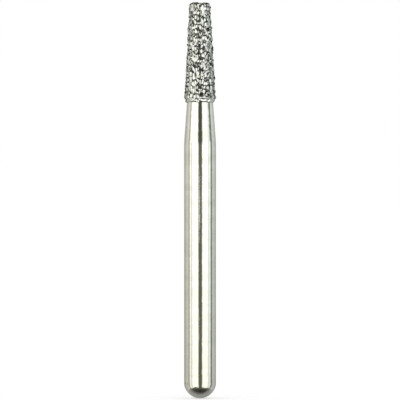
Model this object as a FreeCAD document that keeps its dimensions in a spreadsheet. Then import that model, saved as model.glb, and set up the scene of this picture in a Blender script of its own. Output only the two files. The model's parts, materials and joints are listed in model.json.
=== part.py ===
import FreeCAD, Part
import Sketcher

import math
import os
import random

# A dental bur: a steel blank turned in one piece, and the nickel coat that holds diamond grains
# on its tapered head. Millimetres, with the origin at the middle of the shank's rounded end and
# +Z along the axis towards the flat tip.

# Driving dimensions: name, value and what it measures
SIZES = (
    ("shank_dia", 1.60, "friction-grip shank, across"),
    ("shank_length", 12.73, "rounded end to the start of the neck"),
    ("end_dome_height", 0.72, "rounded end of the shank, along the axis"),
    ("neck_length", 2.03, "start of the neck to the lower edge of the coat"),
    ("neck_top_dia", 1.31, "blank at the lower edge of the coat, across"),
    ("coat_length", 5.06, "lower edge of the coat to the highest grains on the tip"),
    ("core_tip_dia", 0.81, "blank at its flat end inside the coat, across"),
    ("core_edge_break", 0.05, "chamfer round the blank's flat end"),
    ("grain_reach", 0.165, "blank's surface to the highest points of the grains"),
    ("bond_thickness", 0.10, "nickel between the grains"),
    ("grain_pitch", 0.21, "one grain to the next"),
    ("lip_length", 0.18, "bare nickel edge below the first row of grains"),
    ("lip_step", 0.04, "neck to the foot of the bare nickel edge"),
    ("tip_edge_radius", 0.10, "rounding of the nickel round the flat tip"),
)

# How much the grains differ. Widths and strays are shares of the grain pitch, heights are shares
# of what the highest grain stands out of the nickel, and slopes are rise over run.
GRAIN_SEED = 41
GRAIN_HALF_WIDTH = (0.16, 0.31)
GRAIN_HEIGHT = (0.3, 1.0)
GRAIN_TURN = math.radians(20)
GRAIN_SLOPE = 0.4
GRAIN_STRAY = 0.05
NICKEL_HEIGHT = (-0.2, 0.5)

# The lip's roll from its foot towards the first row of grains, in degrees
LIP_ROLL = (0, 30, 60)

TURN = 2 * math.pi


def add_sizes(doc):
    """The sheet of driving dimensions, which every piece reads."""
    sheet = doc.addObject("Spreadsheet::Sheet", "sizes")
    for row, (name, value, meaning) in enumerate(SIZES, start=1):
        sheet.set(f"A{row}", meaning)
        sheet.set(f"B{row}", str(value))
        sheet.setAlias(f"B{row}", name)
    doc.recompute()
    return sheet


def origin_plane(body, role):
    """The body's own origin plane with this role."""
    return next(plane for plane in body.Origin.OriginFeatures if plane.Role == role)


def turned_profile(body):
    """Half section of the blank, on the XZ plane: radius across the sketch, height up it."""
    sketch = body.newObject("Sketcher::SketchObject", "blank_profile")
    sketch.AttachmentSupport = [(origin_plane(body, "XZ_Plane"), "")]
    sketch.MapMode = "FlatFace"

    # Rough places, which the constraints below set exactly
    corners = [(0.8, 0.7), (0.8, 12), (0.6, 14), (0.4, 19), (0.3, 19.5), (0, 19.5), (0, 0)]
    points = [FreeCAD.Vector(across, up, 0) for across, up in corners]
    rough_dome = Part.Circle(FreeCAD.Vector(0, 0.8, 0), FreeCAD.Vector(0, 0, 1), 0.8)
    dome = sketch.addGeometry(Part.ArcOfCircle(rough_dome, -TURN / 4, -0.1))
    shank, neck, core, edge_break, flat_end, axis = (
        sketch.addGeometry(Part.LineSegment(start, end))
        for start, end in zip(points, points[1:])
    )
    start, end, centre = 1, 2, 3
    root, up_axis = (-1, 1), -2

    loop = (dome, shank, neck, core, edge_break, flat_end, axis)
    for one, following in zip(loop, loop[1:] + loop[:1]):
        sketch.addConstraint(Sketcher.Constraint("Coincident", one, end, following, start))
    for constraint in (
        Sketcher.Constraint("Coincident", dome, start, *root),
        Sketcher.Constraint("PointOnObject", dome, centre, up_axis),
        Sketcher.Constraint("Vertical", shank),
        Sketcher.Constraint("Horizontal", flat_end),
        Sketcher.Constraint("Vertical", axis),
    ):
        sketch.addConstraint(constraint)

    # Name, direction, from, to, rough value and the driving dimensions that give the real one
    measures = (
        ("shank_radius", "DistanceX", root, (shank, end), 0.8, "sizes.shank_dia / 2"),
        ("dome_height", "DistanceY", root, (dome, end), 0.7, "sizes.end_dome_height"),
        ("shank_height", "DistanceY", root, (shank, end), 12, "sizes.shank_length"),
        ("neck_height", "DistanceY", (neck, start), (neck, end), 2, "sizes.neck_length"),
        ("neck_radius", "DistanceX", root, (neck, end), 0.6, "sizes.neck_top_dia / 2"),
        ("core_radius", "DistanceX", root, (core, end), 0.4, "sizes.core_tip_dia / 2"),
        ("core_height", "DistanceY", (core, start), (flat_end, end), 4.9,
         "sizes.coat_length - sizes.grain_reach"),
        ("break_across", "DistanceX", (edge_break, end), (edge_break, start), 0.05,
         "sizes.core_edge_break"),
        ("break_along", "DistanceY", (edge_break, start), (edge_break, end), 0.05,
         "sizes.core_edge_break"),
    )
    for name, direction, begin, finish, rough, size in measures:
        index = sketch.addConstraint(Sketcher.Constraint(direction, *begin, *finish, rough))
        sketch.renameConstraint(index, name)
        sketch.setExpression(f"Constraints.{name}", size)
    return sketch


def add_steel_blank(doc):
    """Shank, neck and the core inside the coat, turned from one steel rod."""
    body = doc.addObject("PartDesign::Body", "steel_blank")
    body.Label = "steel_blank"
    profile = turned_profile(body)
    turned = body.newObject("PartDesign::Revolution", "turned_blank")
    turned.Profile = profile
    turned.ReferenceAxis = (profile, ["V_Axis"])
    turned.Angle = 360
    body.Tip = turned
    body.Placement = FreeCAD.Placement()
    doc.recompute()
    return body


class NickelSurface:
    """Half section of the nickel between the grains, from the lip over the edge to the tip's middle."""

    def __init__(self, sizes):
        neck_radius = sizes.neck_top_dia / 2
        core_height = sizes.coat_length - sizes.grain_reach
        self.coat_start = sizes.shank_length + sizes.neck_length
        self.lean = math.atan2(neck_radius - sizes.core_tip_dia / 2, core_height)
        self.edge_radius = sizes.tip_edge_radius
        self.tip_height = self.coat_start + core_height + sizes.bond_thickness
        self.start_height = self.coat_start + sizes.lip_length
        self.wide_radius = neck_radius + sizes.bond_thickness / math.cos(self.lean)
        self.start_radius = self.radius_on_taper(self.start_height)

        self.edge_middle_height = self.tip_height - self.edge_radius
        taper_end = self.edge_middle_height + self.edge_radius * math.sin(self.lean)
        self.edge_middle = self.radius_on_taper(taper_end) - self.edge_radius * math.cos(self.lean)
        self.taper_run = (taper_end - self.start_height) / math.cos(self.lean)
        self.edge_run = self.edge_radius * (TURN / 4 - self.lean)
        self.whole_run = self.taper_run + self.edge_run + self.edge_middle

    def radius_on_taper(self, height):
        return self.wide_radius - (height - self.coat_start) * math.tan(self.lean)

    def at(self, run):
        """Radius, height and lean of the surface after this much of the way along it."""
        if run <= self.taper_run:
            height = self.start_height + run * math.cos(self.lean)
            return self.radius_on_taper(height), height, self.lean
        run -= self.taper_run
        if run <= self.edge_run:
            lean = self.lean + run / self.edge_radius
            radius = self.edge_middle + self.edge_radius * math.cos(lean)
            return radius, self.edge_middle_height + self.edge_radius * math.sin(lean), lean
        return self.edge_middle - (run - self.edge_run), self.tip_height, TURN / 4

    def point(self, angle, run, across=0.0, along=0.0, rise=0.0):
        """(angle, point) that far across, along and above the surface's own plane at this place."""
        radius, height, lean = self.at(run)
        out = radius - along * math.sin(lean) + rise * math.cos(lean)
        up = height + along * math.cos(lean) + rise * math.sin(lean)
        turn = angle + math.atan2(across, out)
        reach = math.hypot(across, out)
        return turn % TURN, FreeCAD.Vector(reach * math.cos(turn), reach * math.sin(turn), up)


def by_angle(ring):
    """The ring's (angle, point) entries in order round the axis."""
    return sorted(ring, key=lambda entry: entry[0])


def join_rings(lower, upper):
    """Triangles that close the band between two rings of (angle, point), facing outwards."""
    lower = by_angle(lower)
    upper = by_angle(upper)
    lower.append((lower[0][0] + TURN, lower[0][1]))
    upper.append((upper[0][0] + TURN, upper[0][1]))
    triangles = []
    low = high = 0
    while low < len(lower) - 1 or high < len(upper) - 1:
        lower_ends = low == len(lower) - 1
        upper_ends = high == len(upper) - 1
        if upper_ends or (not lower_ends and lower[low + 1][0] <= upper[high + 1][0]):
            triangles.append((lower[low][1], lower[low + 1][1], upper[high][1]))
            low += 1
        else:
            triangles.append((lower[low][1], upper[high + 1][1], upper[high][1]))
            high += 1
    return triangles


def grain_top(nickel, sizes, angle, run, chance):
    """Four corners of a grain's flat top, turned, tilted and standing out of the nickel by chance."""
    pitch = sizes.grain_pitch
    height = (sizes.grain_reach - sizes.bond_thickness) * chance.uniform(*GRAIN_HEIGHT)
    half_across = pitch * chance.uniform(*GRAIN_HALF_WIDTH)
    half_along = pitch * chance.uniform(*GRAIN_HALF_WIDTH)
    turn = chance.uniform(-GRAIN_TURN, GRAIN_TURN)
    slope_across = chance.uniform(-GRAIN_SLOPE, GRAIN_SLOPE)
    slope_along = chance.uniform(-GRAIN_SLOPE, GRAIN_SLOPE)
    height -= half_across * abs(slope_across) + half_along * abs(slope_along)
    corners = []
    for side_across, side_along in ((-1, -1), (1, -1), (1, 1), (-1, 1)):
        across = side_across * half_across
        along = side_along * half_along
        turned_across = across * math.cos(turn) - along * math.sin(turn)
        turned_along = across * math.sin(turn) + along * math.cos(turn)
        tilt = slope_across * turned_across + slope_along * turned_along
        corners.append(nickel.point(angle, run, turned_across, turned_along, height + tilt))
    return corners


def nickel_between(nickel, sizes, angle, run, chance):
    """A point of the nickel between grains, where it has crept up them more or less."""
    stray = GRAIN_STRAY * sizes.grain_pitch
    rise = (sizes.grain_reach - sizes.bond_thickness) * chance.uniform(*NICKEL_HEIGHT)
    return nickel.point(angle, run, 0, chance.uniform(-stray, stray), rise)


def nickel_ring(nickel, sizes, run, chance):
    """Points of the nickel all round the head at one place, between two rows of grains."""
    count = max(5, round(TURN * nickel.at(run)[0] / sizes.grain_pitch))
    offset = chance.uniform(0, TURN / count)
    return [
        nickel_between(nickel, sizes, offset + TURN * step / count, run, chance)
        for step in range(count)
    ]


def grain_row(nickel, sizes, run, spacing, chance):
    """One row of grains round the head: its faces, and the rings of points below and above it."""
    pitch = sizes.grain_pitch
    stray = GRAIN_STRAY * pitch
    narrow = nickel.at(min(run + spacing / 2, nickel.whole_run))[0]
    count = max(4, round(TURN * narrow / pitch))
    offset = chance.uniform(0, TURN / count)
    angles = [offset + TURN * step / count for step in range(count)]
    tops = [
        grain_top(nickel, sizes, angle, run + chance.uniform(-stray, stray), chance)
        for angle in angles
    ]
    gaps = [
        nickel_between(nickel, sizes, angle + TURN / count / 2, run, chance)
        for angle in angles
    ]
    faces = []
    below, above = [], []
    for place, top in enumerate(tops):
        gap, following = gaps[place], tops[(place + 1) % count]
        low_left, low_right, high_right, high_left = top
        faces.append([corner[1] for corner in top])
        faces.append((low_right[1], gap[1], high_right[1]))
        faces.append((gap[1], following[0][1], following[3][1]))
        below += [low_left, low_right, gap]
        above += [high_left, high_right, gap]
    return faces, below, above


def coat_outside(sizes):
    """Every face of the coat's outer surface and of its flat lower end."""
    nickel = NickelSurface(sizes)
    chance = random.Random(GRAIN_SEED)
    rows = round(nickel.whole_run / sizes.grain_pitch - 0.5)
    spacing = nickel.whole_run / (rows + 0.5)

    # The bare edge rolls out from its foot beside the neck to the first ring of nickel
    ring = nickel_ring(nickel, sizes, 0, chance)
    foot_radius = sizes.neck_top_dia / 2 + sizes.lip_step
    lip = []
    for roll in LIP_ROLL:
        swell = math.sin(math.radians(roll))
        radius = foot_radius + (nickel.start_radius - foot_radius) * swell
        height = nickel.coat_start + sizes.lip_length * (1 - math.cos(math.radians(roll)))
        lip.append([
            (angle, FreeCAD.Vector(radius * math.cos(angle), radius * math.sin(angle), height))
            for angle, _ in ring
        ])
    faces = [[point for _, point in reversed(by_angle(lip[0]))]]
    for lower, upper in zip(lip, lip[1:] + [ring]):
        faces += join_rings(lower, upper)

    for row in range(rows):
        row_faces, below, above = grain_row(nickel, sizes, (row + 0.5) * spacing, spacing, chance)
        faces += join_rings(ring, below) + row_faces
        ring = nickel_ring(nickel, sizes, (row + 1) * spacing, chance)
        faces += join_rings(above, ring)

    # One grain closes the middle of the flat tip
    last = grain_top(nickel, sizes, 0, nickel.whole_run, chance)
    return faces + join_rings(ring, last) + [[corner[1] for corner in last]]


def add_diamond_coat(doc, sizes, blank):
    """Nickel with its diamond grains, grown on the blank: a faceted skin less the blank inside it."""
    faces = [Part.Face(Part.makePolygon([*face, face[0]])) for face in coat_outside(sizes)]
    shell = Part.makeShell(faces)
    shell.sewShape()
    outside = doc.addObject("Part::Feature", "coat_outside")
    outside.Shape = Part.makeSolid(shell)
    outside.Placement = FreeCAD.Placement()

    coat = doc.addObject("Part::Cut", "diamond_coat")
    coat.Label = "diamond_coat"
    coat.Refine = False
    coat.Base = outside
    coat.Tool = blank
    coat.Placement = FreeCAD.Placement()
    doc.recompute()
    return coat


def check(doc, pieces):
    """Stops if any object failed, or if a piece isn't one valid solid."""
    failed = [item.Name for item in doc.Objects if {"Invalid", "Error"} & set(item.State)]
    if failed:
        raise RuntimeError(f"these failed to build: {failed}")
    for piece in pieces:
        shape = piece.Shape
        if shape.isNull() or not shape.isValid() or len(shape.Solids) != 1:
            raise RuntimeError(f"{piece.Label} isn't one valid solid")


def write(pieces):
    """One file for each piece, named by its label."""
    os.makedirs("parts", exist_ok=True)
    for piece in pieces:
        piece.Shape.exportStep(f"parts/{piece.Label}.step")


doc = FreeCAD.newDocument("dental_bur")
sizes = add_sizes(doc)
blank = add_steel_blank(doc)
coat = add_diamond_coat(doc, sizes, blank)
check(doc, (blank, coat))
write((blank, coat))
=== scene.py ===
import json
import math

import bpy
import numpy as np
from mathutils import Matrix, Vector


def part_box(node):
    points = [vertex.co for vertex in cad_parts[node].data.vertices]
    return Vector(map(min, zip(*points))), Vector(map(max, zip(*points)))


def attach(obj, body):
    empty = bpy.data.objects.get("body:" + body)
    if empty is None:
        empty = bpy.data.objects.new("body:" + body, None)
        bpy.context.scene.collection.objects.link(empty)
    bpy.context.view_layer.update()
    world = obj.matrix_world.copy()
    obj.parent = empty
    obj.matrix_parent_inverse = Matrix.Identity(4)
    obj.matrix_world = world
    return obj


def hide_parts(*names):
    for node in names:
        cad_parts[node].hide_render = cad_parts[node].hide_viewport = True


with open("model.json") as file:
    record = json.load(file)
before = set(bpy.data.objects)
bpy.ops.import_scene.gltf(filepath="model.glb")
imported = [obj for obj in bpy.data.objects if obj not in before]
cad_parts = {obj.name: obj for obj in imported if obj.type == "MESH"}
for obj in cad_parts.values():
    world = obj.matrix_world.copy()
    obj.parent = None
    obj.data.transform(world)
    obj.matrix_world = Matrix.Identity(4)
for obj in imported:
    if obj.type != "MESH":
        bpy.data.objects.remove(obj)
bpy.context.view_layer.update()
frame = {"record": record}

MM = 0.001

# Steel blank
# The shank with its rounded end, the neck and the core inside the head, turned from one rod of
# hardened steel and ground round the axis. It carries the coat, and the chuck grips its shank.

shank_mount = frame["record"]["mounts"][0]
SHANK_MIDDLE = shank_mount["pos_m"][2]
SHANK_HALF_LENGTH = shank_mount["dims"]["length_mm"] * MM / 2
SHANK_RADIUS = shank_mount["dims"]["r_mm"] * MM
DOME_HEIGHT = SHANK_MIDDLE - SHANK_HALF_LENGTH
NECK_START = SHANK_MIDDLE + SHANK_HALF_LENGTH
COAT_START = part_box("diamond_coat")[0][2]
CORE_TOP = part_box("steel_blank")[1][2]
NECK_TOP_RADIUS = 0.655 * MM
NECK_EASE = 0.25 * MM
CORE_TIP_RADIUS = 0.405 * MM
CORE_EDGE_BREAK = 0.05 * MM

BLANK_AROUND = 240
DOME_RINGS = 39
SHARP_EDGE = math.radians(30)
# The rings above the dome: the lowest, the highest, and how many. They lie close where it bends.
BLANK_RINGS = (
    (DOME_HEIGHT + 0.006 * MM, DOME_HEIGHT + 0.006 * MM, 1),
    (DOME_HEIGHT + 0.02 * MM, DOME_HEIGHT + 0.06 * MM, 2),
    (DOME_HEIGHT + 0.2 * MM, NECK_START - 1.1 * NECK_EASE, 56),
    (NECK_START - NECK_EASE, NECK_START + NECK_EASE, 31),
    (NECK_START + 1.1 * NECK_EASE, COAT_START - 0.05 * MM, 26),
    (COAT_START, CORE_TOP - 0.1 * MM, 30),
    (CORE_TOP - 0.08 * MM, CORE_TOP, 12),
)

STEEL_AT_END = (0.69, 0.684, 0.617, 1)
STEEL_AT_NECK = (0.82, 0.827, 0.754, 1)
PALER_FROM = 1 * MM
STEEL_EDGE_TINT = (0.45, 0.45, 0.44, 1)
STEEL_ROUGHNESS = (0.06, 0.13)
# Waves of a noise are counted to the metre, across the axis and along it. MIDDLE_OF_NOISE is the
# part of its range, out of 0 to 1, that nearly all of it lies in.
MIDDLE_OF_NOISE = (0.35, 0.7)
NOISE_DETAIL = 3
DULLING_WAVES = (900, 540)
BLOTCH_WAVES = (600, 3000)
BLOTCH_FROM = (0.36, 0.66)
BLOTCH_STRENGTH = 0.18
BLOTCH_COLOUR = (0.33, 0.32, 0.27, 1)
# The surface's fine forms: their waves across and along, and how deep they are
GRINDING = (400, 30000, 0.0004 * MM)
POLISHING = (2200, 2200, 0.008 * MM)
DOME_PITS = (9000, 9000, 0.012 * MM)
PITTED_SHARE = 0.6
# Small stains: centre and radius in millimetres, and how dark each is
SPECKS = (
    ((-0.66, -0.33, 13.53), 0.045, 0.7),
    ((-0.62, -0.50, 0.74), 0.06, 0.4),
    ((-0.70, -0.32, 0.75), 0.07, 0.4),
)
SPECK_COLOUR = (0.12, 0.11, 0.09, 1)
# Where handling has rubbed the front dull: lowest, highest and fade in millimetres, and how much
# roughness it adds. Streaks make it weaker in places, down to RUBBED_LEAST of its strength.
RUBBED_LENGTHS = ((8.4, 10.7, 1.0, 0.34), (2.9, 4.0, 0.8, 0.12))
RUBBED_LEFT = -0.09 * MM
RUBBED_RIGHT = 0.0
RUBBED_FADE = 0.035 * MM
RUBBED_WAVES = (300, 4000)
RUBBED_FROM = (0.35, 0.65)
RUBBED_LEAST = 0.4


def blank_radius(height):
    """Radius of the blank above the dome: straight lines through its corners. The corner at the
    foot of the neck is eased by a parabola that meets both lines at this distance from it."""
    corners = (0, NECK_START, COAT_START, CORE_TOP - CORE_EDGE_BREAK, CORE_TOP)
    radii = (SHANK_RADIUS, SHANK_RADIUS, NECK_TOP_RADIUS, CORE_TIP_RADIUS,
             CORE_TIP_RADIUS - CORE_EDGE_BREAK)
    slope = (SHANK_RADIUS - NECK_TOP_RADIUS) / (COAT_START - NECK_START)
    from_corner = np.minimum(np.abs(height - NECK_START) / NECK_EASE, 1)
    return np.interp(height, corners, radii) - slope * NECK_EASE / 4 * (1 - from_corner) ** 2


def rings(radius, height, around):
    """Points of a turned surface: each radius and height carried round the axis in equal steps.
    Radius and height may also vary round the axis, as arrays of one row for each ring."""
    angle = np.linspace(0, 2 * math.pi, around, endpoint=False)
    radius, height = (np.asarray(part).reshape(len(part), -1) for part in (radius, height))
    height = np.broadcast_to(height, (len(height), around))
    return np.stack((radius * np.cos(angle), radius * np.sin(angle), height), axis=-1)


def closed_skin(name, points, first, last):
    """One closed mesh: each ring of points joined to the next by quads, and the first and the last
    ring drawn by triangles to a point on the axis, at these heights, with every face outwards."""
    count, around = points.shape[:2]
    here = np.arange(around)
    following = np.roll(here, -1)
    low = (np.arange(count - 1) * around)[:, None]
    quads = np.stack(
        (low + here, low + following, low + around + following, low + around + here), axis=-1
    ).reshape(-1, 4)
    top = (count - 1) * around
    first_at, last_at = count * around, count * around + 1
    first_fan = np.stack((np.full(around, first_at), following, here), axis=-1)
    last_fan = np.stack((top + here, top + following, np.full(around, last_at)), axis=-1)
    vertices = np.concatenate((points.reshape(-1, 3), [(0, 0, first)], [(0, 0, last)]))
    mesh = bpy.data.meshes.new(name)
    mesh.from_pydata(vertices, [], quads.tolist() + first_fan.tolist() + last_fan.tolist())
    mesh.shade_smooth()
    piece = bpy.data.objects.new(name, mesh)
    bpy.context.scene.collection.objects.link(piece)
    return piece


# The dome is the cap of a sphere that meets the shank at its full radius
sphere_radius = (SHANK_RADIUS ** 2 + DOME_HEIGHT ** 2) / (2 * DOME_HEIGHT)
dome_turn = np.linspace(0, math.acos(1 - DOME_HEIGHT / sphere_radius), DOME_RINGS + 1)[1:]
dome_radius = sphere_radius * np.sin(dome_turn)
dome_height = sphere_radius * (1 - np.cos(dome_turn))
blank_height = np.concatenate([np.linspace(*stretch) for stretch in BLANK_RINGS])
blank_points = rings(
    np.concatenate((dome_radius, blank_radius(blank_height))),
    np.concatenate((dome_height, blank_height)),
    BLANK_AROUND,
)
blank = closed_skin("ground_steel_blank", blank_points, 0, CORE_TOP)
blank.data.set_sharp_from_angle(angle=SHARP_EDGE)


def fine_noise_group():
    """Node group: a noise from 0 to 1 on the object's own coordinates, with this many waves to the
    metre across the axis and along it."""
    group = bpy.data.node_groups.new("fine_noise", "ShaderNodeTree")
    for name in ("Across", "Along"):
        group.interface.new_socket(name, in_out="INPUT", socket_type="NodeSocketFloat")
    group.interface.new_socket("Value", in_out="OUTPUT", socket_type="NodeSocketFloat")
    given = group.nodes.new("NodeGroupInput")
    result = group.nodes.new("NodeGroupOutput")
    place = group.nodes.new("ShaderNodeTexCoord")
    waves = group.nodes.new("ShaderNodeCombineXYZ")
    scaled = group.nodes.new("ShaderNodeVectorMath")
    scaled.operation = "MULTIPLY"
    texture = group.nodes.new("ShaderNodeTexNoise")
    texture.inputs["Scale"].default_value = 1
    texture.inputs["Detail"].default_value = NOISE_DETAIL
    for source, target in (
        (given.outputs["Across"], waves.inputs["X"]),
        (given.outputs["Across"], waves.inputs["Y"]),
        (given.outputs["Along"], waves.inputs["Z"]),
        (place.outputs["Object"], scaled.inputs[0]),
        (waves.outputs["Vector"], scaled.inputs[1]),
        (scaled.outputs["Vector"], texture.inputs["Vector"]),
        (texture.outputs["Fac"], result.inputs["Value"]),
    ):
        group.links.new(source, target)
    return group


FINE_NOISE = fine_noise_group()


def noise(tree, across, along):
    """The fine noise placed in a material, with its own waves to the metre."""
    node = tree.nodes.new("ShaderNodeGroup")
    node.node_tree = FINE_NOISE
    node.inputs["Across"].default_value = across
    node.inputs["Along"].default_value = along
    return node.outputs["Value"]


def remap(tree, value, low, high, to_low, to_high):
    """Value taken from low..high to to_low..to_high, held at the ends."""
    node = tree.nodes.new("ShaderNodeMapRange")
    for socket, number in (("From Min", low), ("From Max", high), ("To Min", to_low),
                           ("To Max", to_high)):
        node.inputs[socket].default_value = number
    tree.links.new(value, node.inputs["Value"])
    return node.outputs["Result"]


def combine(tree, operation, first, second):
    """First and second, each a socket or a number, put through this arithmetic."""
    node = tree.nodes.new("ShaderNodeMath")
    node.operation = operation
    for socket, value in zip(node.inputs, (first, second)):
        if isinstance(value, (int, float)):
            socket.default_value = value
        else:
            tree.links.new(value, socket)
    return node.outputs["Value"]


def blend_colours(tree, share, first, second):
    """First where share is 0, second where it is 1. Each is a socket or a colour. Sockets of one
    name serve numbers, vectors and colours in this node, so the colours' are told by number."""
    mix = tree.nodes.new("ShaderNodeMix")
    mix.data_type = "RGBA"
    tree.links.new(share, mix.inputs["Factor"])
    for socket, value in ((mix.inputs[6], first), (mix.inputs[7], second)):
        if isinstance(value, tuple):
            socket.default_value = value
        else:
            tree.links.new(value, socket)
    return mix.outputs[2]


def new_material(name, metallic):
    """A material with the node tree it has, and the Principled shader in it."""
    material = bpy.data.materials.new(name)
    material.use_nodes = True
    shader = material.node_tree.nodes["Principled BSDF"]
    shader.inputs["Metallic"].default_value = metallic
    return material, material.node_tree, shader


def bump(tree, shader, height, distance):
    """Feeds the shader's normal with this height, whose unit is this distance in metres."""
    node = tree.nodes.new("ShaderNodeBump")
    node.inputs["Distance"].default_value = distance
    tree.links.new(height, node.inputs["Height"])
    tree.links.new(node.outputs["Normal"], shader.inputs["Normal"])


def place_of(tree):
    """The object's own X, Y and Z, in metres."""
    place = tree.nodes.new("ShaderNodeTexCoord")
    split = tree.nodes.new("ShaderNodeSeparateXYZ")
    tree.links.new(place.outputs["Object"], split.inputs["Vector"])
    return split.outputs


def within(tree, value, low, high, fade):
    """1 where the value lies between low and high, falling to 0 over this much outside them."""
    return combine(
        tree, "MULTIPLY", remap(tree, value, low - fade, low, 0, 1),
        remap(tree, value, high, high + fade, 1, 0),
    )


def spot(tree, centre, radius):
    """1 within half this radius of a centre on the object, falling to 0 at the radius."""
    place = tree.nodes.new("ShaderNodeTexCoord")
    apart = tree.nodes.new("ShaderNodeVectorMath")
    apart.operation = "DISTANCE"
    apart.inputs[1].default_value = centre
    tree.links.new(place.outputs["Object"], apart.inputs[0])
    return remap(tree, apart.outputs["Value"], radius / 2, radius, 1, 0)


steel, tree, shader = new_material("ground_steel", 1.0)
sideways, _, height = place_of(tree)
steel_colour = blend_colours(
    tree, remap(tree, height, PALER_FROM, NECK_START, 0, 1), STEEL_AT_END, STEEL_AT_NECK
)
blotches = remap(tree, noise(tree, *BLOTCH_WAVES), *BLOTCH_FROM, 0, BLOTCH_STRENGTH)
steel_colour = blend_colours(tree, blotches, steel_colour, BLOTCH_COLOUR)
for centre, radius, darkness in SPECKS:
    speck = combine(tree, "MULTIPLY", spot(tree, np.multiply(centre, MM), radius * MM), darkness)
    steel_colour = blend_colours(tree, speck, steel_colour, SPECK_COLOUR)
tree.links.new(steel_colour, shader.inputs["Base Color"])
shader.inputs["Specular Tint"].default_value = STEEL_EDGE_TINT

grinding, polishing, pits = (
    combine(tree, "MULTIPLY", noise(tree, across, along), depth)
    for across, along, depth in (GRINDING, POLISHING, DOME_PITS)
)
on_dome = remap(tree, height, PITTED_SHARE * DOME_HEIGHT, DOME_HEIGHT, 1, 0)
pits = combine(tree, "MULTIPLY", pits, on_dome)
# These heights are in metres already, so the bump's own distance is 1
bump(tree, shader, combine(tree, "ADD", combine(tree, "ADD", grinding, polishing), pits), 1)

steel_roughness = remap(
    tree, noise(tree, *DULLING_WAVES), *MIDDLE_OF_NOISE, *STEEL_ROUGHNESS
)
rubbed_front = combine(
    tree, "MULTIPLY", within(tree, sideways, RUBBED_LEFT, RUBBED_RIGHT, RUBBED_FADE),
    remap(tree, noise(tree, *RUBBED_WAVES), *RUBBED_FROM, RUBBED_LEAST, 1),
)
for lowest, highest, fade, strength in RUBBED_LENGTHS:
    rubbed = combine(
        tree, "MULTIPLY", rubbed_front,
        within(tree, height, lowest * MM, highest * MM, fade * MM),
    )
    steel_roughness = combine(
        tree, "ADD", steel_roughness, combine(tree, "MULTIPLY", rubbed, strength)
    )
tree.links.new(steel_roughness, shader.inputs["Roughness"])
blank.data.materials.append(steel)
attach(blank, "root")
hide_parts("steel_blank")

# Nickel bond
# Nickel electroplated on the head until it holds the diamond grains. It covers most of them in a
# thin bright skin that shows their shape, and its lower end is a bare rolled lip round the neck.

BOND_THICKNESS = 0.10 * MM
BASE_THICKNESS = 0.125 * MM
TIP_EDGE_RADIUS = 0.10 * MM

GRIT_SEED = 21
GRAIN_PITCH = 0.215 * MM
GRAIN_RADIUS = (0.064 * MM, 0.080 * MM)
FIRST_GRAIN = 0.05 * MM
SHOWN_SHARE = 0.22
# How far a grain is off its even place, round and along the head, in shares of the pitch
OFF_PLACE_ROUND = 0.28
OFF_PLACE_ALONG = 0.4

LUMP_SIDES = 5
LUMP_RISE = (0.004 * MM, 0.026 * MM)
SHOWN_LUMP_DROP = 0.012 * MM
LUMP_WIDTH = (0.075 * MM, 0.10 * MM)
LUMP_CURVE = (2.5 / MM, 6.5 / MM)
LUMP_TILT = 0.24
LUMP_REACH = 0.3 * MM
LUMP_LENGTHENING = 1.25
SIDE_WIDTH_SHARE = (0.7, 1.15)
SIDE_SLOPE = (0.8, 2.0)
SIDE_OFF_PLACE = 0.3
EDGE_SOFTNESS = 0.006 * MM
NICKEL_SOFTNESS = 0.004 * MM
NICKEL_FLOOR = -0.024 * MM
# Unevenness under and on the lumps: height and wavelength in millimetres, and number of waves
SWELLS = ((0.004, 0.12, 14), (0.05, 0.7, 10), (0.03, 0.3, 12))
RIPPLE_LENGTHS = (0.7, 1.4)

LIP_LENGTH = 0.23 * MM
LIP_STEP = 0.006 * MM
LIP_BEAD = 0.06 * MM
LIP_BEAD_SHARE = 0.5
LIP_SLANT = 0.05 * MM
# The lip's foot sways within the slant: share of it, waves round the neck, and where they start
LIP_SWAYS = ((0.25, 2, 0), (0.15, 5, 1), (0.1, 9, 0))
LIP_UNEVENNESS = 0.075 * MM
LIP_WAVELENGTH = 0.2 * MM
LIP_WAVES = 12

NICKEL_AROUND = 300
NICKEL_ALONG = 300
LIP_ROWS = 12
INSIDE_ROWS = 8

PLATED_COLOUR = (0.71, 0.72, 0.685, 1)
# Painted shade in the creases between the lumps: its colour, and the reach and depth that find a
# crease
PAINTED_CREASE_SHADE = (0.03, 0.03, 0.026, 1)
CREASE_REACH = 4
CREASE_DEPTH = 0.0078 * MM
# Painted shade on the lumps' steep sides: its colour, and the slopes over which it comes in
PAINTED_SIDE_SHADE = (0.10, 0.105, 0.095, 1)
SHADED_SLOPES = (math.radians(20), math.radians(60))
NICKEL_EDGE_TINT = (0.03, 0.03, 0.028, 1)
NODULE_WAVES = (45000, 45000)
NODULE_DEPTH = 0.001 * MM
NICKEL_ROUGHNESS = (0.04, 0.12)

wide_radius = NECK_TOP_RADIUS + BASE_THICKNESS
LEAN = math.atan2(wide_radius - CORE_TIP_RADIUS - BOND_THICKNESS, CORE_TOP - COAT_START)
taper_start = COAT_START + LIP_LENGTH
edge_middle_height = CORE_TOP + BOND_THICKNESS - TIP_EDGE_RADIUS
taper_end = edge_middle_height + TIP_EDGE_RADIUS * math.sin(LEAN)
edge_middle = (
    wide_radius - (taper_end - COAT_START) * math.tan(LEAN) - TIP_EDGE_RADIUS * math.cos(LEAN)
)
TAPER_RUN = (taper_end - taper_start) / math.cos(LEAN)
EDGE_RUN = TIP_EDGE_RADIUS * (math.pi / 2 - LEAN)
WHOLE_RUN = TAPER_RUN + EDGE_RUN + edge_middle


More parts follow.
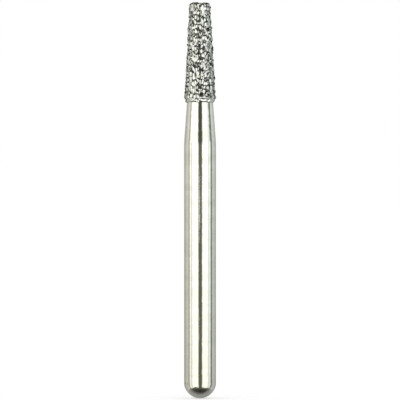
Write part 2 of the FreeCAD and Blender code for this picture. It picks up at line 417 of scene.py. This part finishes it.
def nickel_section(run):
    """Radius, height and lean of the plain nickel surface, run metres from the top of its lip: a
    straight taper, then a quarter round, then the flat tip to the axis."""
    on_edge = np.clip(run - TAPER_RUN, 0, EDGE_RUN)
    on_flat = np.clip(run - TAPER_RUN - EDGE_RUN, 0, None)
    below_edge = TAPER_RUN - np.minimum(run, TAPER_RUN)
    lean = LEAN + on_edge / TIP_EDGE_RADIUS
    radius = edge_middle + below_edge * math.sin(LEAN) + TIP_EDGE_RADIUS * np.cos(lean)
    height = edge_middle_height - below_edge * math.cos(LEAN) + TIP_EDGE_RADIUS * np.sin(lean)
    return np.where(on_flat > 0, edge_middle - on_flat, radius), height, lean


def on_head(angle, run):
    """Point of the plain nickel surface at this angle and run, and its outward normal."""
    radius, height, lean = nickel_section(run)
    point = np.stack((radius * np.cos(angle), radius * np.sin(angle), height), axis=-1)
    normal = np.stack(
        (np.cos(lean) * np.cos(angle), np.cos(lean) * np.sin(angle), np.sin(lean)), axis=-1
    )
    return point, normal


# The grains sit in rows round the head, each a little off its even place
chance = np.random.default_rng(GRIT_SEED)
row_runs = (np.arange(round(WHOLE_RUN / GRAIN_PITCH)) + 0.5) * GRAIN_PITCH
row_counts = np.maximum(1, np.round(2 * math.pi * nickel_section(row_runs)[0] / GRAIN_PITCH))
grain_row = np.repeat(np.arange(len(row_runs)), row_counts.astype(int))
grains = len(grain_row)
row_start = chance.uniform(0, 2 * math.pi, len(row_runs))[grain_row]
place_in_row = np.arange(grains) - np.searchsorted(grain_row, grain_row)
place_in_row = place_in_row + chance.uniform(-OFF_PLACE_ROUND, OFF_PLACE_ROUND, grains)
grain_angle = row_start + 2 * math.pi * place_in_row / row_counts[grain_row]
grain_run = row_runs[grain_row] + GRAIN_PITCH * chance.uniform(
    -OFF_PLACE_ALONG, OFF_PLACE_ALONG, grains
)
grain_run = np.clip(grain_run, FIRST_GRAIN, WHOLE_RUN)
grain_radius = chance.uniform(*GRAIN_RADIUS, grains)
grain_foot, grain_normal = on_head(grain_angle, grain_run)
grain_across = np.stack(
    (-np.sin(grain_angle), np.cos(grain_angle), np.zeros(grains)), axis=-1
)
grain_along = np.cross(grain_normal, grain_across)
shown = np.flatnonzero(chance.random(grains) < SHOWN_SHARE)

# Over each grain the nickel makes a lump: a tilted, rounded top with sloping sides
lump_rise = chance.uniform(*LUMP_RISE, grains)
lump_rise[shown] -= SHOWN_LUMP_DROP
lump_width = chance.uniform(*LUMP_WIDTH, (grains, 1)) * chance.uniform(
    *SIDE_WIDTH_SHARE, (grains, LUMP_SIDES)
)
side_place = np.arange(LUMP_SIDES) + chance.uniform(
    -SIDE_OFF_PLACE, SIDE_OFF_PLACE, (grains, LUMP_SIDES)
)
side_turn = side_place * 2 * math.pi / LUMP_SIDES + chance.uniform(0, 2 * math.pi, (grains, 1))
side_slope = chance.uniform(*SIDE_SLOPE, (grains, LUMP_SIDES))
top_tilt = chance.normal(0, LUMP_TILT, (grains, 2))
top_curve = chance.uniform(*LUMP_CURVE, (grains, 1))


def softest(heights, roundness):
    """The least of the heights over the last axis, rounded where two of them meet: less the
    roundness times the logarithm of the sum of powers of e, each by how far it stands above."""
    least = heights.min(axis=-1, keepdims=True)
    return least[..., 0] - roundness * np.log(
        np.exp((least - heights) / roundness).sum(axis=-1)
    )


def lumps(points, run):
    """How far the nickel stands out over the grains at each point of one ring: over each grain it
    is the least of the top and the sides, and between grains the greatest of the lumps counts.
    Points far below a grain's foot are on the other side of the head, and it doesn't lift them."""
    near = np.flatnonzero(np.abs(grain_run - run) < LUMP_REACH)
    apart = points[:, None, :] - grain_foot[near]
    across = (apart * grain_across[near]).sum(axis=-1)[..., None]
    along = (apart * grain_along[near]).sum(axis=-1)[..., None] / LUMP_LENGTHENING
    above = (apart * grain_normal[near]).sum(axis=-1)
    rise = lump_rise[near][:, None]
    top = rise + across * top_tilt[near, :1] + along * top_tilt[near, 1:]
    top -= top_curve[near] * (across ** 2 + along ** 2) / 2
    outward = across * np.cos(side_turn[near]) + along * np.sin(side_turn[near])
    sides = rise - side_slope[near] * (outward - lump_width[near])
    heights = softest(np.concatenate((top, sides), axis=-1), EDGE_SOFTNESS)
    heights[above < -LUMP_REACH] = NICKEL_FLOOR
    standing = np.concatenate((heights, np.full((len(points), 1), NICKEL_FLOOR)), axis=1)
    return -softest(-standing, NICKEL_SOFTNESS)


def ripple(points, wavelength, waves):
    """A gentle unevenness from -1 to 1: the mean of plane waves of about one length in random
    directions."""
    direction = chance.normal(size=(waves, 3))
    direction /= np.linalg.norm(direction, axis=1, keepdims=True)
    turn = 2 * math.pi / (wavelength * chance.uniform(*RIPPLE_LENGTHS, waves))
    phase = chance.uniform(0, 2 * math.pi, waves)
    return np.sin((points @ direction.T) * turn + phase).mean(axis=-1)


run = np.linspace(0, WHOLE_RUN, NICKEL_ALONG + 1)[:-1]
angle = np.linspace(0, 2 * math.pi, NICKEL_AROUND, endpoint=False)
surface, outward = on_head(*np.broadcast_arrays(angle[None, :], run[:, None]))
rise = np.stack([lumps(*ring) for ring in zip(surface, run)])
for swell, wavelength, waves in SWELLS:
    rise += swell * MM * ripple(surface, wavelength * MM, waves)
bumpy = surface + outward * rise[..., None]

# The lip is a low bead round the neck, and a slope leads from it to the first ring of the taper.
# Each takes half of the lip's rows.
rolled = np.linspace(0, 1, LIP_ROWS + 1)[:-1, None]
bead = np.sin(np.minimum(rolled * 2, 1) * math.pi / 2)
past_bead = np.clip(rolled * 2 - 1, 0, 1)
foot_height = COAT_START + LIP_SLANT * (
    0.5 + sum(share * np.sin(waves * angle + start) for share, waves, start in LIP_SWAYS)
)
foot_radius = blank_radius(foot_height) + LIP_STEP
bead_radius = foot_radius + LIP_BEAD * bead
first_radius = np.hypot(bumpy[0, :, 0], bumpy[0, :, 1])
first_height = bumpy[0, :, 2]
lip_radius = bead_radius + (first_radius - bead_radius) * past_bead ** 2
lip_share = LIP_BEAD_SHARE * (1 - np.sqrt(1 - bead ** 2)) + (1 - LIP_BEAD_SHARE) * past_bead
lip_height = foot_height + (first_height - foot_height) * lip_share
lip_bumps = ripple(rings(lip_radius, lip_height, NICKEL_AROUND), LIP_WAVELENGTH, LIP_WAVES)
lip_radius += LIP_UNEVENNESS * lip_bumps * np.sin(math.pi * rolled)

# From the core's top the skin runs down inside the head, round the lip and up the outside
inside_height = np.linspace(CORE_TOP, COAT_START + LIP_SLANT, INSIDE_ROWS)
hidden = np.concatenate((
    rings(blank_radius(inside_height)[:, None], inside_height[:, None], NICKEL_AROUND),
    rings(blank_radius(foot_height)[None, :], foot_height[None, :], NICKEL_AROUND),
    rings(lip_radius, lip_height, NICKEL_AROUND),
))
nickel = closed_skin(
    "nickel_bond", np.concatenate((hidden, bumpy)), CORE_TOP, bumpy[-1, :, 2].mean()
)


def evened(field, reach):
    """The field averaged over a square of this many steps either way, round and along the head."""
    for axis in (0, 1):
        padded = np.pad(field, [(reach, reach) if axis == n else (0, 0) for n in (0, 1)],
                        mode="wrap" if axis else "edge")
        total = np.cumsum(np.insert(padded, 0, 0, axis=axis), axis=axis)
        ends = np.split(total, [2 * reach + 1], axis=axis)[1]
        starts = np.split(total, [total.shape[axis] - 2 * reach - 1], axis=axis)[0]
        field = (ends - starts) / (2 * reach + 1)
    return field


# Painted shade darkens the creases, where a point lies below the surface around it, and the lumps'
# sides, where the bumpy surface leans away from the plain one
crease_shade = np.clip((evened(rise, CREASE_REACH) - rise) / CREASE_DEPTH, 0, 1)
facing = np.cross(
    np.roll(bumpy, -1, axis=1) - np.roll(bumpy, 1, axis=1), np.gradient(bumpy, axis=0)
)
facing /= np.linalg.norm(facing, axis=-1, keepdims=True)
leaning = np.arccos(np.clip((facing * outward).sum(axis=-1), 0, 1))
# Painted shade on the lumps' sides, growing with how far they lean
side_shade = np.interp(leaning, SHADED_SLOPES, (0, 1))
for name, painted_shade in (("crease_shade", crease_shade), ("side_shade", side_shade)):
    painted_shade_at = np.concatenate((np.zeros(len(hidden) * NICKEL_AROUND), painted_shade.ravel(), (0, 0)))
    nickel.data.attributes.new(name, "FLOAT", "POINT").data.foreach_set("value", painted_shade_at)


def blend_by_attribute(tree, attribute_name, plain, full):
    """Colour between plain and full, by an attribute that runs from 0 to 1."""
    attribute = tree.nodes.new("ShaderNodeAttribute")
    attribute.attribute_name = attribute_name
    return blend_colours(tree, attribute.outputs["Fac"], plain, full)


plating, tree, shader = new_material("plated_nickel", 1.0)
# Painted shade: the nickel is darker in its creases and on its lumps' steep sides
nickel_colour = blend_by_attribute(tree, "crease_shade", PLATED_COLOUR, PAINTED_CREASE_SHADE)
nickel_colour = blend_by_attribute(tree, "side_shade", nickel_colour, PAINTED_SIDE_SHADE)
tree.links.new(nickel_colour, shader.inputs["Base Color"])
shader.inputs["Specular Tint"].default_value = NICKEL_EDGE_TINT
nodules = noise(tree, *NODULE_WAVES)
bump(tree, shader, nodules, NODULE_DEPTH)
tree.links.new(
    remap(tree, nodules, *MIDDLE_OF_NOISE, *NICKEL_ROUGHNESS), shader.inputs["Roughness"]
)
nickel.data.materials.append(plating)
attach(nickel, "root")
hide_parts("diamond_coat")

# Diamond grains
# Blocky crystals of synthetic diamond about 0.15 mm across, laid on the steel before plating. About
# one in five stands clear of the nickel, which grips it by the rest.

CRYSTAL_SHARPNESS = (0.58, 0.74)
MIDDLE_SHARPNESS = 0.65
CRYSTAL_FULLNESS = 0.72
CRYSTAL_STRETCH = (0.8, 1.15)
CRYSTAL_LIFT = 0.004 * MM
# A direction that none of the crystal's faces looks in
ASKEW = (0.3, 0.5, 0.8)
DARK_DIAMOND = (0.42, 0.41, 0.36, 1)
CLEAR_DIAMOND = (0.86, 0.86, 0.8, 1)
DIAMOND_IOR = 2.42
DIAMOND_ROUGHNESS = (0.0, 0.08)
FROSTING_WAVES = (30000, 30000)
FROSTING_DEPTH = 0.001 * MM


def crystal_faces(corners, normals):
    """For each normal, the corners that lie furthest along it, in order round it."""
    faces = []
    for normal in normals:
        along = corners @ normal
        flat = np.flatnonzero(np.isclose(along, along.max()))
        side = np.cross(normal, ASKEW)
        around = np.arctan2(corners[flat] @ np.cross(normal, side), corners[flat] @ side)
        faces.append(flat[np.argsort(around)])
    return faces


# A truncated octahedron: each corner has a big, a small and a zero part, in some order and with
# either sign. The sharper the crystal, the more of the corner is its big part.
signs = np.array([(one, other) for one in (-1, 1) for other in (-1, 1)])
big, small = (
    np.concatenate([
        np.insert(signs * pair[::order], gap, 0, axis=1)
        for gap in range(3) for pair in ((1, 0), (0, 1))
    ])
    for order in (1, -1)
)
cube_normals = np.concatenate((np.eye(3), -np.eye(3)))
slant_normals = np.array([(x, y, z) for x in (-1, 1) for y in (-1, 1) for z in (-1, 1)])
facets = crystal_faces(
    MIDDLE_SHARPNESS * big + (1 - MIDDLE_SHARPNESS) * small,
    np.concatenate((cube_normals, slant_normals)),
)

count = len(shown)
sharpness = chance.uniform(*CRYSTAL_SHARPNESS, (count, 1, 1))
shape = (sharpness * big + (1 - sharpness) * small) / CRYSTAL_FULLNESS
stretch = chance.uniform(*CRYSTAL_STRETCH, (count, 1, 3))
# Each crystal is turned by a random quaternion
quaternion = chance.normal(size=(count, 4))
w, x, y, z = (quaternion / np.linalg.norm(quaternion, axis=1, keepdims=True)).T
turned = np.array((
    (1 - 2 * (y * y + z * z), 2 * (x * y - w * z), 2 * (x * z + w * y)),
    (2 * (x * y + w * z), 1 - 2 * (x * x + z * z), 2 * (y * z - w * x)),
    (2 * (x * z - w * y), 2 * (y * z + w * x), 1 - 2 * (x * x + y * y)),
)).transpose(2, 0, 1)
crystal_radius = grain_radius[shown]
lift = (crystal_radius - BOND_THICKNESS + CRYSTAL_LIFT)[:, None]
middle = grain_foot[shown] + grain_normal[shown] * lift
corners = middle[:, None, :] + crystal_radius[:, None, None] * np.einsum(
    "gij,gvj->gvi", turned, shape * stretch
)
first_corner = (np.arange(count) * len(big))[:, None]
faces = [face for facet in facets for face in (first_corner + facet).tolist()]
grit_mesh = bpy.data.meshes.new("diamond_grains")
grit_mesh.from_pydata(corners.reshape(-1, 3), [], faces)
tone = grit_mesh.attributes.new("tone", "FLOAT", "POINT")
tone.data.foreach_set("value", np.repeat(chance.random(count), len(big)))
grit = bpy.data.objects.new("diamond_grains", grit_mesh)
bpy.context.scene.collection.objects.link(grit)

diamond, tree, shader = new_material("diamond", 0.0)
shader.inputs["IOR"].default_value = DIAMOND_IOR
shader.inputs["Transmission Weight"].default_value = 1.0
tree.links.new(
    blend_by_attribute(tree, "tone", DARK_DIAMOND, CLEAR_DIAMOND), shader.inputs["Base Color"]
)
frosting = noise(tree, *FROSTING_WAVES)
bump(tree, shader, frosting, FROSTING_DEPTH)
tree.links.new(
    remap(tree, frosting, *MIDDLE_OF_NOISE, *DIAMOND_ROUGHNESS), shader.inputs["Roughness"]
)
grit_mesh.materials.append(diamond)
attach(grit, "root")

# Studio
# A pale floor and a white backdrop in plain soft light. The bur's metal mirrors two broad bright
# panels either side of a dark gap at the lens, with greyer walls round the sides.

FLOOR_REACH = 3.0
FLOOR_COLOUR = (0.6, 0.6, 0.6, 1)
FLOOR_GLOW = (0.43, 0.43, 0.43, 1)
FLOOR_ROUGHNESS = 0.9
WHITE = (1, 1, 1, 1)

# Degrees round from the lens, light level, and how warm (above 0) or green (below 0) it is. The
# first walls stand level with the bur, the others above them.
LEVEL_WALLS = (
    (-180, 1.15, 0.0), (-152, 1.05, 0.3), (-140, 0.69, 0.3), (-120, 0.70, 0.3),
    (-112, 0.81, 0.4), (-101, 0.81, 0.5), (-94, 0.63, 0.8), (-79, 0.59, 1.0), (-76, 1.50, 0.8),
    (-71, 1.45, 0.8), (-67, 1.00, 0.5), (-60, 1.00, 0.4), (-54, 1.60, 0.3), (-15, 1.62, 0.4),
    (-9, 0.18, 2.2), (12, 0.15, 2.2), (19.5, 1.60, 0.3), (57, 1.56, 0.3), (60, 1.00, 0.0),
    (66, 1.00, -0.2), (69, 1.22, -0.6), (77, 1.18, -0.6), (83, 0.70, -0.8), (86.5, 0.24, -1.0),
    (95, 0.22, -1.0), (98, 0.73, -0.6), (113, 0.74, -0.4), (135, 0.75, -0.3), (150, 0.81, 0.0),
    (180, 0.9, 0.0),
)
UPPER_WALLS = (
    (-180, 1.20, 0.0), (-150, 1.05, 0.4), (-125, 0.78, 0.4), (-108, 0.80, 0.5),
    (-102, 1.04, 0.5), (-96, 1.00, 0.6), (-90, 0.62, 0.8), (-79, 0.48, 0.8), (-74, 1.45, 0.3),
    (-18, 1.48, 0.3), (-12, 0.09, 2.2), (14, 0.085, 2.2), (22.5, 1.45, 0.3), (56, 1.45, 0.2),
    (62, 1.12, -0.2), (72, 1.08, -0.4), (78, 0.24, -1.0), (94, 0.16, -1.0), (98, 0.82, -0.9),
    (115, 0.86, -0.8), (140, 1.05, -0.6), (180, 1.20, 0.0),
)
# How much blue a warm light lacks, and how much red and blue a green one lacks
WARM_LACKS = 0.12
GREEN_LACKS = (0.06, 0.04)
FRONT_GROUND = (0.15, 0.147, 0.12, 1)
GROUND_BELOW = (0.045, 0.044, 0.033, 1)
BACK_GROUND = (0.47, 0.478, 0.49, 1)
SKY = (0.06, 0.06, 0.057, 1)
SKY_OVERHEAD = (0.5, 0.5, 0.49, 1)
# How far up a direction points, from -1 to 1, where one light gives way to the next
UPPER_WALLS_FROM = (0.065, 0.14)
SKY_FROM = (0.36, 0.5)
OVERHEAD_FROM = (0.75, 0.9)
GROUND_FROM = (-0.48, -0.58)
GROUND_BELOW_FROM = (-0.5, -0.86)
# How far away from the lens it points, where the ground in front gives way to that at the back
BACK_GROUND_FROM = (-0.24, 0.36)
# The backdrop is straight behind, a little to the left. It fades in between these cosines.
BACKDROP_TOWARDS = (-0.156, 0.988, 0)
BACKDROP_FROM = (0.934, 0.990)

floor_mesh = bpy.data.meshes.new("floor")
floor_corners = np.array([(-1, -1, 0), (1, -1, 0), (1, 1, 0), (-1, 1, 0)]) * FLOOR_REACH
floor_mesh.from_pydata(floor_corners, [], [(0, 1, 2, 3)])
floor = bpy.data.objects.new("floor", floor_mesh)
bpy.context.scene.collection.objects.link(floor)
floor.visible_glossy = False
floor.visible_transmission = False
paper, tree, shader = new_material("pale_paper", 0.0)
shader.inputs["Base Color"].default_value = FLOOR_COLOUR
shader.inputs["Roughness"].default_value = FLOOR_ROUGHNESS
shader.inputs["Specular IOR Level"].default_value = 0
shader.inputs["Emission Color"].default_value = FLOOR_GLOW
light_path = tree.nodes.new("ShaderNodeLightPath")
tree.links.new(light_path.outputs["Is Camera Ray"], shader.inputs["Emission Strength"])
floor_mesh.materials.append(paper)


def tinted(level, warmth):
    """A grey of this level, with less blue where warmth is above 0, and with a little less red and
    blue where it is below."""
    warm, green = max(warmth, 0), max(-warmth, 0)
    red = 1 - GREEN_LACKS[0] * green
    blue = 1 - WARM_LACKS * warm - GREEN_LACKS[1] * green
    return (level * red, level, level * blue, 1)


def wall_light(tree, around, table):
    """The light of one height of the walls, looked up by the angle round from the lens."""
    ramp = tree.nodes.new("ShaderNodeValToRGB")
    stops = ramp.color_ramp.elements
    for azimuth, _, _ in table[1:-1]:
        stops.new((azimuth + 180) / 360)
    for stop, (azimuth, level, warmth) in zip(stops, table):
        stop.position = (azimuth + 180) / 360
        stop.color = tinted(level, warmth)
    tree.links.new(remap(tree, around, -math.pi, math.pi, 0, 1), ramp.inputs["Fac"])
    return ramp.outputs["Color"]


world = bpy.data.worlds.new("studio")
world.use_nodes = True
tree = world.node_tree
tree.nodes.clear()
direction = tree.nodes.new("ShaderNodeTexCoord")
split = tree.nodes.new("ShaderNodeSeparateXYZ")
tree.links.new(direction.outputs["Generated"], split.inputs["Vector"])
right, away, up = split.outputs
around = combine(tree, "ARCTAN2", right, combine(tree, "MULTIPLY", away, -1))
walls = blend_colours(
    tree, remap(tree, up, *UPPER_WALLS_FROM, 0, 1),
    wall_light(tree, around, LEVEL_WALLS), wall_light(tree, around, UPPER_WALLS),
)
front = blend_colours(tree, remap(tree, up, *GROUND_BELOW_FROM, 0, 1), FRONT_GROUND, GROUND_BELOW)
ground = blend_colours(tree, remap(tree, away, *BACK_GROUND_FROM, 0, 1), front, BACK_GROUND)
sky = blend_colours(tree, remap(tree, up, *OVERHEAD_FROM, 0, 1), SKY, SKY_OVERHEAD)
mirrored = blend_colours(tree, remap(tree, up, *GROUND_FROM, 0, 1), walls, ground)
mirrored = blend_colours(tree, remap(tree, up, *SKY_FROM, 0, 1), mirrored, sky)
mirrored_light = tree.nodes.new("ShaderNodeBackground")
tree.links.new(mirrored, mirrored_light.inputs["Color"])
white_light = tree.nodes.new("ShaderNodeBackground")
white_light.inputs["Color"].default_value = WHITE

# The camera and the floor see plain white. Metal and diamond see it straight behind, where the
# backdrop is, and the walls, ground and sky elsewhere.
backdrop = tree.nodes.new("ShaderNodeVectorMath")
backdrop.operation = "DOT_PRODUCT"
backdrop.inputs[1].default_value = BACKDROP_TOWARDS
tree.links.new(direction.outputs["Generated"], backdrop.inputs[0])
off_backdrop = remap(tree, backdrop.outputs["Value"], *BACKDROP_FROM, 1, 0)
light_path = tree.nodes.new("ShaderNodeLightPath")
in_metal_or_diamond = combine(
    tree, "MAXIMUM", light_path.outputs["Is Glossy Ray"],
    light_path.outputs["Is Transmission Ray"],
)
choose = tree.nodes.new("ShaderNodeMixShader")
output = tree.nodes.new("ShaderNodeOutputWorld")
for source, target in (
    (combine(tree, "MULTIPLY", in_metal_or_diamond, off_backdrop), choose.inputs["Fac"]),
    (white_light.outputs["Background"], choose.inputs[1]),
    (mirrored_light.outputs["Background"], choose.inputs[2]),
    (choose.outputs["Shader"], output.inputs["Surface"]),
):
    tree.links.new(source, target)
bpy.context.scene.world = world
bpy.context.scene.view_settings.view_transform = "Standard"

# Camera
# Level with the middle of the frame, square to the axis, and far enough off for a long lens.

VIEW_WIDTH = 20.0 * MM
VIEW_HEIGHT = 9.9125 * MM
CAMERA_DISTANCE = 200 * MM
CLIP_START = 10 * MM
SENSOR_WIDTH = 36
camera_data = bpy.data.cameras.new("camera")
camera_data.sensor_width = SENSOR_WIDTH
camera_data.lens = SENSOR_WIDTH * CAMERA_DISTANCE / VIEW_WIDTH
camera_data.clip_start = CLIP_START
camera = bpy.data.objects.new("camera", camera_data)
camera.location = (0, -CAMERA_DISTANCE, VIEW_HEIGHT)
camera.rotation_euler = (math.pi / 2, 0, 0)
bpy.context.scene.collection.objects.link(camera)
bpy.context.scene.camera = camera
